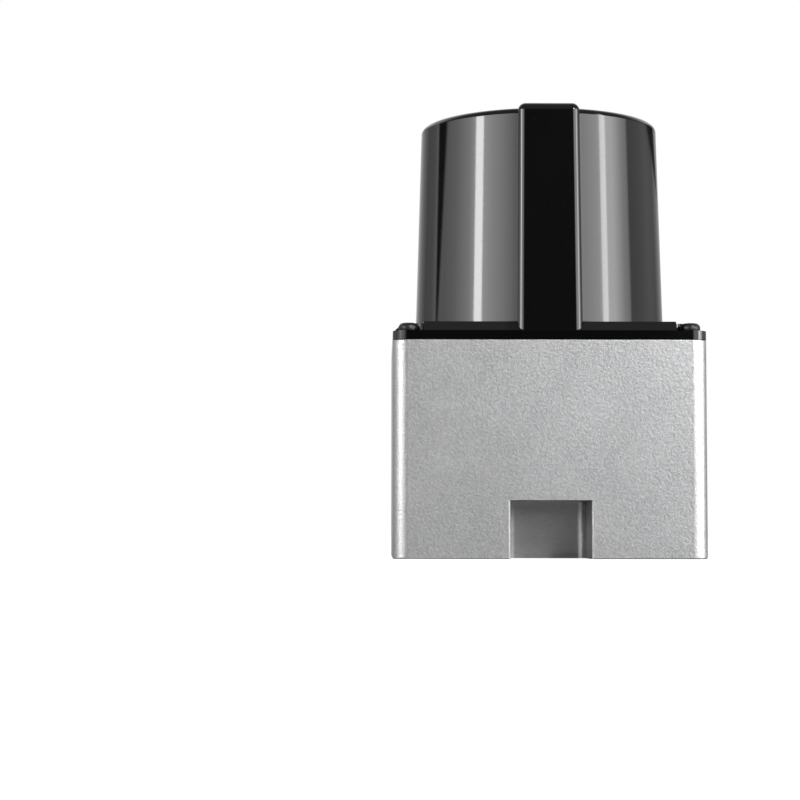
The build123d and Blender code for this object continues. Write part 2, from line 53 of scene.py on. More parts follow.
camera = bpy.data.objects.new("camera", bpy.data.cameras.new("camera"))
bpy.context.collection.objects.link(camera)
camera.data.sensor_width = sensor_width
camera.data.lens = focal_length
camera.data.clip_start = 10 * mm
turn = looking.to_track_quat("-Z", "Y").to_matrix() @ Matrix.Rotation(camera_roll, 3, "Z")
camera.matrix_world = Matrix.Translation(eye) @ turn.to_4x4()
bpy.context.scene.camera = camera
bpy.context.scene.view_settings.view_transform = "Standard"


# Studio: a pale floor in a white room, with a light tube before a soft box on each side and a key
# light on the right. Behind the camera the room is dark, and the glossy hood shows that.
lamp_distance = 0.9
aim = Vector((0, 0, 50 * mm))


def lamp(name, bearing, height, width, tall, radiance):
    """A light at a bearing from the camera's side, in degrees, aimed at the sensor's middle."""
    data = bpy.data.lights.new(name, "AREA")
    data.shape = "RECTANGLE"
    data.size = width
    data.size_y = tall
    data.energy = pi * width * tall * radiance
    light = bpy.data.objects.new(name, data)
    bpy.context.collection.objects.link(light)
    light.location = (lamp_distance * sin(radians(bearing)), -lamp_distance * cos(radians(bearing)),
                      height)
    light.rotation_euler = (aim - light.location).to_track_quat("-Z", "Y").to_euler()
    light.visible_camera = False


lamp("left_tube", -61.8, 0.24, 0.13, 0.2, 8.5)
lamp("right_tube", 59.3, 0.32, 0.1, 0.5, 4.6)
lamp("right_key", 28, 0.5, 0.15, 0.15, 52)


class Level:
    """A number that varies over a surface: a node's output that can be used in sums."""

    def __init__(self, tree, socket):
        self.tree = tree
        self.socket = socket

    def joined(self, operation, first, second=0.0):
        """A new level from one or two others."""
        sum_node = self.tree.nodes.new("ShaderNodeMath")
        sum_node.operation = operation
        for place, value in zip(sum_node.inputs, (first, second)):
            feed(self.tree, place, value)
        return Level(self.tree, sum_node.outputs[0])

    def __add__(self, other):
        return self.joined("ADD", self, other)

    def __radd__(self, other):
        return self.joined("ADD", other, self)

    def __sub__(self, other):
        return self.joined("SUBTRACT", self, other)

    def __rsub__(self, other):
        return self.joined("SUBTRACT", other, self)

    def __mul__(self, other):
        return self.joined("MULTIPLY", self, other)

    def __gt__(self, other):
        return self.joined("GREATER_THAN", self, other)

    def __lt__(self, other):
        return self.joined("LESS_THAN", self, other)


def feed(tree, place, value):
    """Links a level to a socket, or sets the socket to a plain value."""
    if isinstance(value, Level):
        tree.links.new(value.socket, place)
    elif isinstance(value, tuple) and len(value) == 3 and place.type == "RGBA":
        place.default_value = (*value, 1.0)
    else:
        place.default_value = value


class Finish:
    """The shader of one material or of the world."""

    def __init__(self, tree, shader):
        self.tree = tree
        self.shader = shader

    def node(self, kind, settings=None, sockets=None, output=0):
        """Adds a node: its settings first, then the values or links of its sockets."""
        made = self.tree.nodes.new("ShaderNode" + kind)
        for name, value in (settings or {}).items():
            if name == "stops":
                ramp = made.color_ramp.elements
                while len(ramp) < len(value):
                    ramp.new(1.0)
                for stop, (place, colour) in zip(ramp, value):
                    stop.position = place
                    stop.color = (*colour, 1.0)
            else:
                setattr(made, name, value)
        for place, value in (sockets or {}).items():
            feed(self.tree, made.inputs[place], value)
        return Level(self.tree, made.outputs[output])

    def mix(self, share, first, second):
        """A colour between two, by share."""
        return self.node("Mix", {"data_type": "RGBA"}, {0: share, 6: first, 7: second}, 2)

    def own(self, scale=None):
        """The piece's own coordinates in metres, scaled along its axes where that is asked."""
        plain = self.node("TexCoord", output="Object")
        return self.node("Mapping", None, {"Vector": plain, "Scale": scale}) if scale else plain

    def noise(self, size, detail=2.0, scale=None, rough=0.5):
        """Noise whose lumps are about size metres across, 0 to 1. A low scale draws them long."""
        return self.node("TexNoise", None, {
            "Vector": self.own(scale), "Scale": 1 / size, "Detail": detail, "Roughness": rough})

    def bump(self, height, depth, strength=1.0):
        """A bump whose height of 1 stands depth metres proud."""
        return self.node("Bump", None, {
            "Height": height, "Distance": depth, "Strength": strength})

    def set(self, **sockets):
        """Sets or links the shader's own sockets."""
        for name, value in sockets.items():
            feed(self.tree, self.shader.inputs[name.replace("_", " ")], value)

    def surface(self, tone, dark, light, roughness, grain, depth, **others):
        """The usual surface: a colour between two by tone, and a grain that stands depth proud."""
        self.set(Base_Color=self.mix(tone, dark, light), Roughness=roughness,
                 Normal=self.bump(grain, depth), **others)


def new_finish(name):
    """A new material and its Principled shader."""
    material = bpy.data.materials.new(name)
    material.use_nodes = True
    finish = Finish(material.node_tree, material.node_tree.nodes["Principled BSDF"])
    finish.material = material
    return finish


def coat(piece, finish):
    """Adds a finish to a piece."""
    piece.data.materials.append(finish.material)


def deselect():
    """Leaves nothing selected."""
    bpy.ops.object.select_all(action="DESELECT")


floor_size = 6.0
white_added = 0.9
deselect()
bpy.ops.mesh.primitive_grid_add(x_subdivisions=8, y_subdivisions=8, size=floor_size)
floor = bpy.context.active_object
floor.name = "floor"
card = new_finish("floor_card")
fibre = card.noise(2 * mm, 3.0)
seen = card.node("LightPath", output="Is Camera Ray")
card.set(
    Base_Color=card.mix(fibre, (0.3, 0.3, 0.3), (0.34, 0.34, 0.34)),
    Roughness=0.9,
    Emission_Color=card.mix(seen, (0, 0, 0), (1, 1, 1)),
    Emission_Strength=white_added,
)
coat(floor, card)

world = bpy.data.worlds.new("studio")
bpy.context.scene.world = world
world.use_nodes = True
room = Finish(world.node_tree, world.node_tree.nodes["Background"])
direction = room.node("TexCoord", output="Generated")


def along(axis):
    """How far the direction points along an axis."""
    return room.node("VectorMath", {"operation": "DOT_PRODUCT"}, {0: direction, 1: axis}, "Value")


upwards = along((0, 0, 1))
rightwards = along((1, 0, 0))
bearing = rightwards.joined("ARCTAN2", rightwards, along((0, -1, 0)))
brightest = 8.0

# The soft boxes round the room: bearings from the camera's side, in degrees, and their brightness
round_the_room = [
    (-180, 0.9), (-158, 0.55), (-138, 0.3), (-124, 0.5), (-116, 1.0), (-104, 1.0), (-90, 1.5),
    (-74, 2.7), (-66, 4.2), (-58, 4.6), (-48, 3.6), (-38, 2.9), (-28, 2.0), (-18, 0.35), (-9, 0.05),
    (8, 0.05), (13, 0.5), (22, 3.2), (30, 3.6), (40, 3.4), (54, 4.3), (61, 6.0), (70, 5.6),
    (76, 4.2), (83, 2.6), (89.6, 1.9), (91, 0.6), (120, 0.55), (136, 0.3), (158, 0.55), (180, 0.9),
]
soft_boxes = room.node("ValToRGB", {"stops": [
    (0.5 + place / 360, (level / brightest,) * 3) for place, level in round_the_room]},
    {0: 0.5 + bearing * (0.5 / pi)})


def rising(value, start, end):
    """Rises softly from 0, where the value is start, to 1, where it is end."""
    return room.node("MapRange", {"interpolation_type": "SMOOTHSTEP"}, {
        "Value": value, "From Min": start, "From Max": end})


# A dark gap far round on each side, leaning as the window's slope mirrors it
gap_left = rising(bearing + upwards * 0.35, radians(-114.5), radians(-112))
gap_right = rising(bearing - upwards * 1.5, radians(-122), radians(-126))
gap_middle = bearing - radians(139) - (0.207 - upwards) * 7.5
far_gap = rising(gap_middle.joined("ABSOLUTE", gap_middle) - (upwards - 0.165) * 2.9,
                 radians(2), radians(-1.5))
gaps = (1 - gap_left * gap_right * 0.95) * (1 - far_gap * 0.9)

# How high the boxes stand, what lies under and over them, and the far end of the room
far_right = rising(bearing, radians(48), radians(60))
low = rising(upwards, 0.15, 0.04)
box_height = rising(upwards, 0.37, 0.28)
in_front = rising(along((0, 1, 0)), 0.1, 0.7)
overhead = 0.22 + in_front * 0.9
low_share = (0.05 + far_right * 1.65) * (1 - in_front) + in_front * 0.8
glow = soft_boxes * brightest * gaps * (1 + (low_share - 1) * low)
seen = room.node("LightPath", output="Is Camera Ray")
room.set(Color=(1, 1, 1),
         Strength=seen + (1 - seen) * (overhead + (glow - overhead) * box_height))


# Housing: a cup milled from one block of aluminium, bead-blasted and clear anodised, with the
# cable recess cut into its rear bottom edge and four threaded holes in the base.
body_low, body_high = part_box("housing")
body_width = body_high.x - body_low.x
body_depth = body_high.y - body_low.y
half_x = body_width / 2
half_y = body_depth / 2
housing_top = body_high.z
corner_radius = 3.0 * mm
corner_segments = 16
edge_break = 0.25 * mm
recess_width = 15.5 * mm
recess_depth = 14.3 * mm
recess_height = 11.1 * mm
recess_corner = 1.65 * mm
recess_flat = 8.2 * mm
recess_bend = 0.15 * mm
recess_ceiling = 2.2 * mm
mouth_break = 0.32 * mm
side_wall = 3.0 * mm
deck_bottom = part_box("deck_plate")[0].z
hair = 0.005 * mm


def only(piece):
    """Selects one piece and nothing else, for the next operator."""
    deselect()
    piece.select_set(True)
    bpy.context.view_layer.objects.active = piece


def close_edit():
    """Back from edit mode."""
    bpy.ops.object.mode_set(mode="OBJECT")


def pick(piece, kind, test):
    """Opens a piece in edit mode with only the edges or faces that pass a test selected.
    An edge is tested by its two ends, a face by its middle and normal."""
    only(piece)
    bpy.ops.object.mode_set(mode="EDIT")
    bpy.ops.mesh.select_mode(type=kind)
    bpy.ops.mesh.select_all(action="DESELECT")
    close_edit()
    points = piece.data.vertices
    if kind == "EDGE":
        for edge in piece.data.edges:
            first, second = edge.vertices
            edge.select = test(points[first].co, points[second].co)
    else:
        for face in piece.data.polygons:
            face.select = test(face.center, face.normal)
    bpy.ops.object.mode_set(mode="EDIT")


def upright(first, second):
    """An edge that stands straight up."""
    return (first - second).xy.length < hair


def level_at(height):
    """A test for edges that lie flat at a height."""
    return lambda first, second: abs(first.z - height) < hair and abs(second.z - height) < hair


def settled(name):
    """The piece just added, with its place moved into its mesh."""
    bpy.ops.object.transform_apply(location=True, rotation=True, scale=True)
    piece = bpy.context.active_object
    piece.name = name
    return piece


def block(name, corner, opposite):
    """A block between two opposite corners, with its place in its mesh."""
    deselect()
    corner, opposite = Vector(corner), Vector(opposite)
    bpy.ops.mesh.primitive_cube_add(size=1, location=(corner + opposite) / 2,
                                    scale=[abs(side) for side in opposite - corner])
    return settled(name)


def round_edges(piece, radius, segments, test=upright):
    """Rounds the edges of a piece that pass a test, or else its upright ones."""
    pick(piece, "EDGE", test)
    bpy.ops.mesh.bevel(offset=radius, segments=segments, affect="EDGES")
    close_edit()


def apply_modifier(piece, modifier):
    """Makes one modifier part of the mesh."""
    only(piece)
    bpy.ops.object.modifier_apply(modifier=modifier.name)


def combine(piece, other, operation="DIFFERENCE"):
    """Cuts another solid out of a piece, or else adds it, and removes the other."""
    modifier = piece.modifiers.new(operation.lower(), "BOOLEAN")
    modifier.operation = operation
    modifier.solver = "EXACT"
    modifier.object = other
    apply_modifier(piece, modifier)
    bpy.data.objects.remove(other)


def smooth(piece, angle=35):
    """Smooth shading, broken at real edges, with flat faces kept flat up to their bevels."""
    only(piece)
    bpy.ops.object.shade_smooth_by_angle(angle=radians(angle))
    flat = piece.modifiers.new("flat_faces", "WEIGHTED_NORMAL")
    flat.keep_sharp = True
    flat.weight = 100
    apply_modifier(piece, flat)


floor_thickness = 3.0 * mm
rim_pad = 3.4 * mm
block_edge = 17.8 * mm
ledge_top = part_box("interface_board")[0].z
ledge_inner = 21.0 * mm
ledge_places = (-9.0 * mm, 9.0 * mm)
ledge_width = 5.0 * mm
base_hole_place = 21.0 * mm
base_hole_radius = 1.25 * mm
base_hole_depth = 6.0 * mm
countersink = 1.75 * mm
screw_hole_radius = 1.05 * mm
screw_hole_depth = 5.3 * mm
screw_x = half_x - 3.0 * mm
screw_y = half_y - 3.0 * mm
four_corners = [(-1, -1), (-1, 1), (1, -1), (1, 1)]
groove_inset = 1.6 * mm
groove_corner = 5.4 * mm
groove_depth = 0.7 * mm
groove_half = 0.5 * mm
inner_x = half_x - side_wall
inner_y = half_y - side_wall


def post(name, radius, bottom, top, x=0.0, y=0.0, sides=32):
    """An upright cylinder between two heights, with its place in its mesh."""
    deselect()
    bpy.ops.mesh.primitive_cylinder_add(vertices=sides, radius=radius, depth=top - bottom,
                                        location=(x, y, (bottom + top) / 2))
    return settled(name)


def rim_outline(name, offset, bottom, top):
    """A block as large as the gasket's line, moved outwards, with its corners cut across."""
    x = half_x - groove_inset + offset
    y = half_y - groove_inset + offset
    piece = block(name, (-x, -y, bottom), (x, y, top))
    round_edges(piece, groove_corner + offset * (2 - sqrt(2)), 1)
    return piece


housing = block("housing_cup", body_low, body_high)
round_edges(housing, corner_radius, corner_segments)
round_edges(housing, edge_break, 3, lambda a, b: level_at(0)(a, b) or level_at(housing_top)(a, b))

# The cavity keeps a wall round the recess, a block over each base hole and the board's ledges.
cavity = block("cavity_cutter", (-inner_x, -inner_y, floor_thickness),
               (inner_x, inner_y, housing_top + side_wall))
wall_x = recess_width / 2 + recess_ceiling
kept = [block("recess_wall", (-wall_x, -body_depth, 0),
              (wall_x, body_low.y + recess_depth + recess_ceiling, recess_height + recess_ceiling))]
for side_x in (-1, 1):
    for side_y in (-1, 1):
        outer = (side_x * body_width, side_y * body_depth)
        pad = (side_x * (inner_x - rim_pad), side_y * (inner_y - rim_pad))
        kept.append(block("corner_block", (side_x * block_edge, side_y * block_edge, 0),
                          (*outer, deck_bottom)))
        kept.append(block("rim_pad", (*pad, 0), (*outer, housing_top + body_width)))
    for y in ledge_places:
        kept.append(block("ledge", (side_x * ledge_inner, y - ledge_width / 2, 0),
                          (side_x * body_width, y + ledge_width / 2, ledge_top)))
for solid in kept:
    combine(cavity, solid)
combine(housing, cavity)

# The recess's back wall bends forward a little at both sides and runs round into the side walls.
recess = block("recess_cutter", (-recess_width / 2, -body_depth, -body_depth),
               (recess_width / 2, body_low.y + recess_depth, recess_height))
pick(recess, "FACE", lambda middle, normal: normal.y > 0.9)
bpy.ops.mesh.extrude_region_move(TRANSFORM_OT_translate={"value": (0, 0, 0)})
bpy.ops.transform.resize(value=(recess_flat / recess_width, 1, 1))
close_edit()
for vertex in recess.data.vertices:
    if abs(vertex.co.x) > recess_flat / 2 + hair and vertex.co.y > -half_y:
        vertex.co.y -= recess_bend
round_edges(recess, recess_corner, corner_segments,
            lambda a, b: upright(a, b) and abs(a.x) > recess_flat / 2 + hair)
combine(housing, recess)
mouth = block("mouth_cutter", (-recess_width / 2, body_low.y - mouth_break, -recess_height),
              (recess_width / 2, body_low.y + mouth_break, recess_height))
for vertex in mouth.data.vertices:
    if vertex.co.y < body_low.y:
        vertex.co.x += mouth_break * 2 * (1 if vertex.co.x > 0 else -1)
        if vertex.co.z > 0:
            vertex.co.z += mouth_break * 0.2
combine(housing, mouth)
socket_low, socket_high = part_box("connector_socket")
neck_room = 0.02 * mm
socket_shoulder = 1.1 * mm
neck_inset = socket_shoulder - neck_room
neck = block("neck_cutter",
             (socket_low.x + neck_inset, socket_low.y + neck_inset, recess_height - side_wall),
             (socket_high.x - neck_inset, socket_high.y - neck_inset, socket_high.z))
combine(housing, neck)

for side_x, side_y in four_corners:
    x, y = side_x * base_hole_place, side_y * base_hole_place
    combine(housing, post("base_hole", base_hole_radius, -side_wall, base_hole_depth, x, y))
    deselect()
    bpy.ops.mesh.primitive_cone_add(
        vertices=32, radius1=countersink + side_wall, radius2=0.0, depth=countersink + side_wall,
        location=(x, y, (countersink - side_wall) / 2))
    combine(housing, settled("hole_cone"))
    thread = post("screw_hole", screw_hole_radius, housing_top - screw_hole_depth,
                  housing_top + side_wall, side_x * screw_x, side_y * screw_y)
    combine(housing, thread)
groove = rim_outline("groove_cutter", groove_half, housing_top - groove_depth,
                     housing_top + side_wall)
island = rim_outline("groove_island", -groove_half, 0, housing_top + body_width)
combine(groove, island)
combine(housing, groove)

blasted = new_finish("blasted_aluminium")
grain = blasted.noise(0.42 * mm, rough=0.6)
fine = blasted.noise(0.2 * mm, 1.0)
cloud = blasted.noise(9 * mm)
pits = grain * 0.7 + fine * 0.3
tone = pits * 0.9 + cloud * 0.1
blasted.surface(tone, (0.42, 0.42, 0.424), (0.98, 0.98, 0.985),
                0.31 + pits * 0.1 + cloud * 0.04, pits, 0.06 * mm, Metallic=1)
milled = new_finish("milled_recess")
cutter_marks = milled.noise(0.2 * mm, 2.0, (0.15, 0.15, 1.0))
milled.surface(cutter_marks, (0.4, 0.4, 0.405), (0.58, 0.58, 0.585),
               0.33 + cutter_marks * 0.08, cutter_marks, 0.004 * mm, Metallic=1)

# The cavity and the recess keep the cutter's marks, and the rest is blasted.
coat(housing, blasted)
coat(housing, milled)
recess_top = recess_height + hair
for face in housing.data.polygons:
    inside = abs(face.center.x) < inner_x + hair and abs(face.center.y) < inner_y + hair
    in_recess = abs(face.center.x) < recess_width / 2 + hair and face.center.z < recess_top
    outside = face.center.z < hair or face.center.y < body_low.y + 2 * mouth_break
    if (inside or in_recess) and not outside:
        face.material_index = 1
smooth(housing)
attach(housing, "base")
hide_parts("housing")


# Hood: one moulding in polished black plastic that passes infrared light, with a flange, a
# sloped shoulder with a notch at each screw, the conical window and the rear fin.
hood_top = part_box("hood")[1].z
flange_top = housing_top + 1.7 * mm
hood_deck_top = housing_top + 3.55 * mm
shoulder_inset = 1.85 * mm
notch = 5.9 * mm
notch_corner = 1.5 * mm
window_base_radius = 25.2 * mm
draft = tan(radians(1.66))
fin_draft = tan(radians(0.48))
fin_base_width = 12.6 * mm
fin_edge_radius = 1.45 * mm
window_edge_radius = 1.2 * mm
window_foot_radius = 0.5 * mm
hood_wall = 2.0 * mm
window_sides = 256


def window_radius(z):
    """Outer radius of the window at a height."""
    return window_base_radius - (z - hood_deck_top) * draft


def turned(name, outline, sides=window_sides):
    """A turned piece: an outline of radius and height pairs, spun round the upright axis."""
    mesh = bpy.data.meshes.new(name)
    mesh.from_pydata([(radius, 0, z) for radius, z in outline],
                     [(i, i + 1) for i in range(len(outline) - 1)], [])
    piece = bpy.data.objects.new(name, mesh)
    bpy.context.collection.objects.link(piece)
    only(piece)
    bpy.ops.object.mode_set(mode="EDIT")
    bpy.ops.mesh.select_all(action="SELECT")
    bpy.ops.mesh.spin(steps=sides, angle=2 * pi, center=(0, 0, 0), axis=(0, 0, 1))
    bpy.ops.mesh.select_all(action="SELECT")
    bpy.ops.mesh.remove_doubles(threshold=hair / 5)
    bpy.ops.mesh.normals_make_consistent(inside=False)
    close_edit()
    return piece


def arc(middle, radius, start, end, steps=8):
    """Points of an arc in an outline, by its angles in degrees."""
    angles = [radians(start + (end - start) * i / steps) for i in range(steps + 1)]
    return [(middle[0] + radius * cos(angle), middle[1] + radius * sin(angle)) for angle in angles]


def fin_block(name, inset, bottom, top):
    """The tapered fin, its faces moved inwards by inset."""
    piece = block(name, (-1, -1, bottom), (1, 0, top))
    for vertex in piece.data.vertices:
        z = vertex.co.z
        half = fin_base_width / 2 - (z - flange_top) * fin_draft - inset
        rear = -half_y + max(0.0, z - flange_top) * draft + inset
        vertex.co.x = half if vertex.co.x > 0 else -half
        vertex.co.y = rear if vertex.co.y < 0 else 0.0
    return piece


hood = block("hood_shell", (body_low.x, body_low.y, housing_top),
             (body_high.x, body_high.y, flange_top))
round_edges(hood, corner_radius, corner_segments)
pick(hood, "FACE", lambda middle, normal: normal.z > 0.9)
bpy.ops.mesh.extrude_region_move(TRANSFORM_OT_translate={"value": (0, 0, hair)})
bpy.ops.mesh.inset(thickness=shoulder_inset, depth=hood_deck_top - flange_top - hair)
close_edit()
for side_x, side_y in four_corners:
    x, y = side_x * half_x, side_y * half_y
    cutter = block("notch_cutter", (x - notch, y - notch, flange_top),
                   (x + notch, y + notch, hood_top))
    round_edges(cutter, notch_corner, 8)
    combine(hood, cutter)

foot = (window_radius(hood_deck_top + window_foot_radius) + window_foot_radius,
        hood_deck_top + window_foot_radius)
edge = (window_radius(hood_top - window_edge_radius) - window_edge_radius,
        hood_top - window_edge_radius)
window = turned("window_form", [
    (0, housing_top + hair), (window_base_radius, housing_top + hair),
    (window_base_radius + window_foot_radius, hood_deck_top - hair),
    *arc(foot, window_foot_radius, 270, 180), *arc(edge, window_edge_radius, 0, 90), (0, hood_top)])
fin = fin_block("fin_block", 0.0, housing_top + hair, hood_top)
round_edges(fin, fin_edge_radius, 8, lambda a, b: (
    max(a.y, b.y) < -body_depth / 4 and min(a.z, b.z) < hood_top and max(a.z, b.z) > hood_top - hair
    or min(a.z, b.z) > hood_top - hair and min(a.y, b.y) < -hair))
combine(window, fin, "UNION")
combine(hood, window, "UNION")

bore_radius = window_radius(hood_top - hood_wall) - hood_wall
bore = turned("bore_cutter", [
    (0, housing_top - hair), (bore_radius, housing_top - hair),
    (bore_radius, hood_top - hood_wall), (0, hood_top - hood_wall)])
hollow = fin_block("fin_cutter", hood_wall, housing_top - hair, hood_top - hood_wall)
combine(bore, hollow, "UNION")
combine(hood, bore)

gloss = new_finish("polished_black")
smear = gloss.noise(9 * mm, 4.0, rough=0.6)
speck = gloss.noise(0.5 * mm, 1.0)
gloss.set(
    Base_Color=gloss.mix(smear, (0.0012, 0.0012, 0.0014), (0.0026, 0.0026, 0.0026)),
    Roughness=0.05 + smear * 0.05 + (speck > 0.68) * 0.05,
    IOR=1.62,
    Normal=gloss.bump(smear, 0.01 * mm, 0.4),
)
textured = new_finish("textured_black")
sparks = textured.noise(0.14 * mm)
sheen = textured.noise(6 * mm, 3.0)
textured.surface(sheen, (0.004, 0.004, 0.0042), (0.009, 0.009, 0.0094),
                 0.56 + sparks * 0.14, sparks, 0.012 * mm, IOR=1.45)

# The flat tops have a fine texture, and the rest is polished.
coat(hood, gloss)
coat(hood, textured)
for face in hood.data.polygons:
    if face.normal.z > 0.999:
        face.material_index = 1
smooth(hood)
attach(hood, "base")
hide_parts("hood")


# Hood gasket: a square cord of black silicone rubber, moulded to the groove in the housing's rim
# and pressed by the hood.
rubber = new_finish("silicone_rubber")
bloom = rubber.noise(1.5 * mm, 3.0)
nap = rubber.noise(0.12 * mm, 1.0)
rubber.surface(bloom, (0.018, 0.018, 0.018), (0.045, 0.045, 0.046),
               0.62 + bloom * 0.2, nap, 0.01 * mm)


def give(finish, *nodes):
    """Gives solids of the frame, whose shape stays, their finish."""
    for name in nodes:
        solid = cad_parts[name]
        solid.data.materials.clear()
        coat(solid, finish)


give(rubber, "hood_gasket")


# Cover screws: four M2 pan-head screws in blackened steel with a cross recess, one in each corner
# notch of the hood, screwed into the housing.
head_radius = 1.9 * mm
head_height = 1.6 * mm
shank_radius = 1.0 * mm
shank_length = 6.0 * mm
thread_pitch = 0.4 * mm


def cross_screw(name, head, tall, shank, length):
    """A pan-head screw with a cross recess and a ribbed shank, its head standing on zero."""
    rounding = tall * 0.55
    root = shank * 0.84
    ribs = []
    for i in range(int(length / thread_pitch)):
        z = i * thread_pitch - length
        ribs += [(root, z), (shank, z + thread_pitch / 2)]
    piece = turned(name, [
        (0, -length - hair), *ribs, (root, -hair), (head * 0.96, 0), (head, tall * 0.1),
        *arc((head - rounding, tall - rounding), rounding, 0, 90, 5), (0, tall)], sides=36)
    for quarter in (0, 1):
        arm = block("recess_arm", (-head * 0.55, -head * 0.13, tall * 0.35),
                    (head * 0.55, head * 0.13, tall * 1.5))
        for vertex in arm.data.vertices:
            if vertex.co.z < tall:
                vertex.co.x *= 0.45
                vertex.co.y *= 0.7
            if quarter:
                vertex.co.x, vertex.co.y = -vertex.co.y, vertex.co.x
        combine(piece, arm)
    smooth(piece, 30)
    return piece


def joined(name, pieces):
    """Several pieces as one, with one mesh."""
    deselect()
    for piece in pieces:
        piece.select_set(True)
    bpy.context.view_layer.objects.active = pieces[0]
    bpy.ops.object.join()
    pieces[0].name = name
    return pieces[0]


def copied(name, piece, places):
    """The piece once at each place, given as x, y, z and a turn, each with its own mesh, joined."""
    made = []
    for x, y, z, turn_by in places:
        only(piece)
        bpy.ops.object.duplicate(linked=False)
        twin = bpy.context.active_object
        twin.data.transform(Matrix.Translation((x, y, z)) @ Matrix.Rotation(turn_by, 4, "Z"))
        made.append(twin)
    bpy.data.objects.remove(piece)
    return joined(name, made)


blackened = new_finish("blackened_steel")
oil = blackened.noise(0.6 * mm, 3.0)
blackened.surface(oil, (0.025, 0.025, 0.027), (0.09, 0.09, 0.093),
                  0.3 + oil * 0.18, oil, 0.006 * mm, Metallic=0.85)
cover_screw = cross_screw("cover_screw", head_radius, head_height, shank_radius, shank_length)
screws = copied("cover_screw_set", cover_screw, [
    (-screw_x, -screw_y, flange_top, 0.5), (-screw_x, screw_y, flange_top, 1.1),
    (screw_x, -screw_y, flange_top, 0.2), (screw_x, screw_y, flange_top, 0.9)])
coat(screws, blackened)
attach(screws, "base")
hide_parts("cover_screws")


# Connector socket: a header moulded in black PBT, pushed up through the ceiling of the cable
# recess and soldered to the interface board, with two keying ribs in its mouth.
socket_shell = 0.6 * mm
socket_back = 1.1 * mm
key_width = 0.8 * mm
key_depth = 0.4 * mm


def soften(piece, width, segments=2, angle=40):
    """Breaks the sharp edges of a piece."""
    rounded = piece.modifiers.new("soften", "BEVEL")
    rounded.width = width
    rounded.segments = segments
    rounded.limit_method = "ANGLE"
    rounded.angle_limit = radians(angle)
    apply_modifier(piece, rounded)


def dress(piece, finish, angle=35):
    """Gives a new piece its finish and its shading."""
    coat(piece, finish)
    smooth(piece, angle)


socket_middle = (socket_low.y + socket_high.y) / 2
socket = block("socket_body", (socket_low.x, socket_low.y, recess_height + recess_ceiling),
               socket_high)
shoulder = Vector((socket_shoulder, socket_shoulder, 0))
socket_neck = block("socket_neck", socket_low + shoulder,
                    socket_high - shoulder - Vector((0, 0, hair)))
combine(socket, socket_neck, "UNION")
mouth_x = socket_high.x - socket_shoulder - socket_shell
mouth_y = (socket_high.y - socket_low.y) / 2 - socket_shoulder - socket_shell
cavity_top = socket_high.z - socket_back
socket_mouth = block("socket_mouth", (-mouth_x, socket_middle - mouth_y, 0),
                     (mouth_x, socket_middle + mouth_y, cavity_top))
key_y = socket_middle - mouth_y
for key_x in (-mouth_x / 2, mouth_x / 2):
    key = block("socket_key", (key_x - key_width / 2, key_y - key_depth, 0),
                (key_x + key_width / 2, key_y + key_depth, cavity_top + key_depth))
    combine(socket_mouth, key)
combine(socket, socket_mouth)
soften(socket, 0.12 * mm)
pbt = new_finish("black_pbt")
flow = pbt.noise(2.5 * mm, 4.0)
matt = pbt.noise(0.1 * mm, 1.0)
pbt.surface(flow, (0.014, 0.014, 0.015), (0.035, 0.035, 0.037), 0.38 + flow * 0.2, matt, 0.004 * mm)
dress(socket, pbt)
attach(socket, "base")
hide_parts("connector_socket")


# Connector pins: six square phosphor-bronze pins, gold-plated, with chamfered tips, through the
# socket's back into the interface board.
pins_low, pins_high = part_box("connector_pins")
pin_size = pins_high.y - pins_low.y
pin_count = 6
pin_pitch = (pins_high.x - pins_low.x - pin_size) / (pin_count - 1)
pin_tip = 0.35 * mm
pin = block("pin", (-pin_size / 2, pins_low.y, pins_low.z),
            (pin_size / 2, pins_high.y, pins_high.z))
pick(pin, "FACE", lambda middle, normal: abs(normal.z) > 0.9)
bpy.ops.mesh.inset(thickness=pin_size * 0.28, depth=0)
close_edit()
for vertex in pin.data.vertices:
    if abs(abs(vertex.co.x) - pin_size / 2) < hair:
        vertex.co.z += pin_tip if vertex.co.z < (pins_low.z + pins_high.z) / 2 else -pin_tip
pins = copied("socket_pins", pin, [
    (pins_low.x + pin_size / 2 + i * pin_pitch, 0, 0, 0) for i in range(pin_count)])
gold = new_finish("gold_plating")
wear = gold.noise(0.5 * mm, 3.0)
gold.surface(wear, (0.72, 0.5, 0.18), (0.93, 0.72, 0.36),
             0.16 + wear * 0.2, wear, 0.004 * mm, Metallic=1)
dress(pins, gold, 30)
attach(pins, "base")
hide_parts("connector_pins")
give(gold, "emitter_pins")


# Circuit boards: glass-fibre laminate under green solder mask, with copper tracks showing through
# it and tinned vias. The emitter's and the receiver's boards are cut from the same laminate.
mask = new_finish("solder_mask")
track_pitch = 0.9 * mm
via_pitch = 2.2 * mm


def stripes(finish, period, axis="X"):
    """Soft stripes across an axis, 0 to 1, one a period."""
    return finish.node("TexWave", {
        "wave_type": "BANDS", "bands_direction": axis, "wave_profile": "SIN"},
        {"Vector": finish.own(), "Scale": pi / 10 / period})


